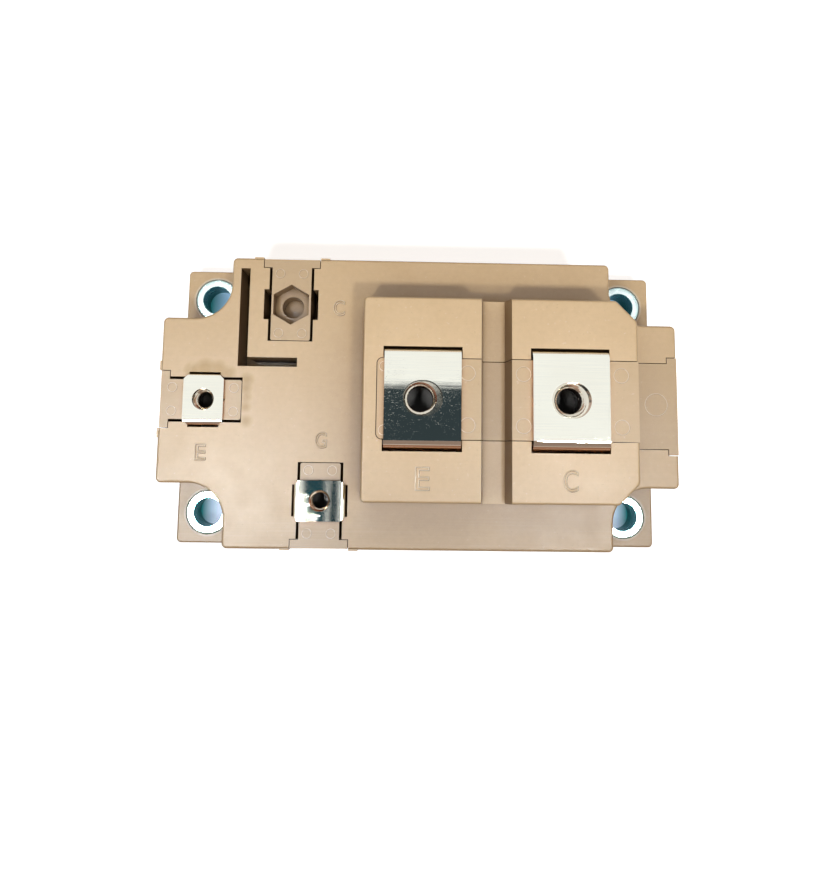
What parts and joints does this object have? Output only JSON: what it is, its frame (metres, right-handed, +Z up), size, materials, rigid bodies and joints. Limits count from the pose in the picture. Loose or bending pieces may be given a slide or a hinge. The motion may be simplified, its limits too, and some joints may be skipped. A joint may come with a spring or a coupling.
{
  "type": "IGBT module",
  "caption": "Flat tan power transistor module on a metal base plate, with raised screw terminals, smaller sense and gate terminals and corner holes for a heat sink.",
  "frame": {"origin": "centre of the base plate's underside, in the middle of the four mounting holes", "axes": "+X along the length towards the collector terminal, +Y towards the edge with the spare terminal position, +Z up out of the base plate towards the terminals"},
  "size_m": [0.1064, 0.0614, 0.0365],
  "materials": {
    "tan_plastic": "satin moulded",
    "plated_copper_plate": "nickel plated",
    "terminal_plating": "plated, brushed",
    "bush_metal": "bright",
    "nut_steel": "zinc plated",
    "copper": "bare copper",
    "ceramic": "matt",
    "solder": "dull",
    "silicon": "polished",
    "aluminium_wire": "drawn",
    "resistor_body": "glazed",
    "silicone_gel": "clear gel"
  },
  "bodies": {
    "root": {"base_plate": "plated_copper_plate", "housing": "tan_plastic", "main_nut_carrier": "tan_plastic", "collector_sense_nut_carrier": "tan_plastic", "emitter_sense_nut_carrier": "tan_plastic", "gate_nut_carrier": "tan_plastic", "emitter_terminal": "terminal_plating", "collector_terminal": "terminal_plating", "emitter_sense_terminal": "terminal_plating", "gate_terminal": "terminal_plating", "emitter_nut": "nut_steel", "collector_nut": "nut_steel", "emitter_sense_nut": "nut_steel", "gate_nut": "nut_steel", "gate_link": "copper", "silicone_gel": "silicone_gel", "bush_rear_left": "bush_metal", "bush_rear_right": "bush_metal", "bush_front_left": "bush_metal", "bush_front_right": "bush_metal", "rear_substrate_solder": "solder", "rear_substrate_bottom_copper": "copper", "rear_substrate_ceramic": "ceramic", "rear_substrate_copper_pads": "copper", "rear_chip_solder": "solder", "rear_transistor_chips": "silicon", "rear_diode_chips": "silicon", "rear_emitter_bond_wires": "aluminium_wire", "rear_gate_bond_wires": "aluminium_wire", "rear_gate_resistor": "resistor_body", "rear_gate_resistor_caps": "nut_steel", "front_substrate_solder": "solder", "front_substrate_bottom_copper": "copper", "front_substrate_ceramic": "ceramic", "front_substrate_copper_pads": "copper", "front_chip_solder": "solder", "front_transistor_chips": "silicon", "front_diode_chips": "silicon", "front_emitter_bond_wires": "aluminium_wire", "front_gate_bond_wires": "aluminium_wire", "front_gate_resistor": "resistor_body", "front_gate_resistor_caps": "nut_steel"}
  },
  "joints": []
}
